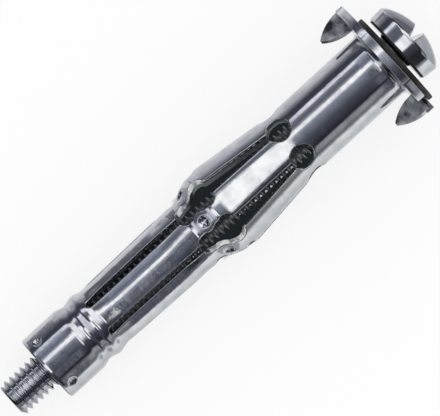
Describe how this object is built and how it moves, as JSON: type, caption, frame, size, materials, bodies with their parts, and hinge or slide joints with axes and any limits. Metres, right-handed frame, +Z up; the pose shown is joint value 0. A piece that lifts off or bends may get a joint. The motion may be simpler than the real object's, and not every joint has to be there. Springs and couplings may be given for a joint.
{
  "type": "hollow wall anchor",
  "caption": "Metal hollow wall anchor: a slotted tubular sleeve with a toothed flange and folding legs, a trapped nut, and a slotted machine screw with a loose washer.",
  "frame": {"origin": "on the sleeve's axis, in the wall-side face of its flange", "axes": "-X along the sleeve's axis into the wall, +X out of the wall towards the screw's head; +Z up with the anchor lying on a flat of its flange; the two teeth lie towards +Y and -Y"},
  "size_m": [0.0553, 0.0136, 0.0122],
  "materials": {
    "sleeve": "bright zinc-plated drawn steel",
    "nut": "zinc-plated turned steel",
    "washer": "dark vulcanised fibre",
    "screw": "bright zinc-plated cold-headed steel"
  },
  "bodies": {
    "sleeve": {"sleeve": "sleeve", "nut": "nut"},
    "washer": {"washer": "washer"},
    "screw": {"screw": "screw"}
  },
  "joints": [
    {"name": "screw_travel", "type": "slide", "parent": "sleeve", "child": "washer", "axis": [1, 0, 0], "range_m": [0, 0.0084]},
    {"name": "screw_turn", "type": "hinge", "parent": "washer", "child": "screw", "pos_m": [0, 0, 0], "axis": [1, 0, 0], "range_deg": [0, 4320]}
  ],
  "couplings": [
    {"joint": "screw_turn", "follows": "screw_travel", "rad_per_m": 8976}
  ]
}
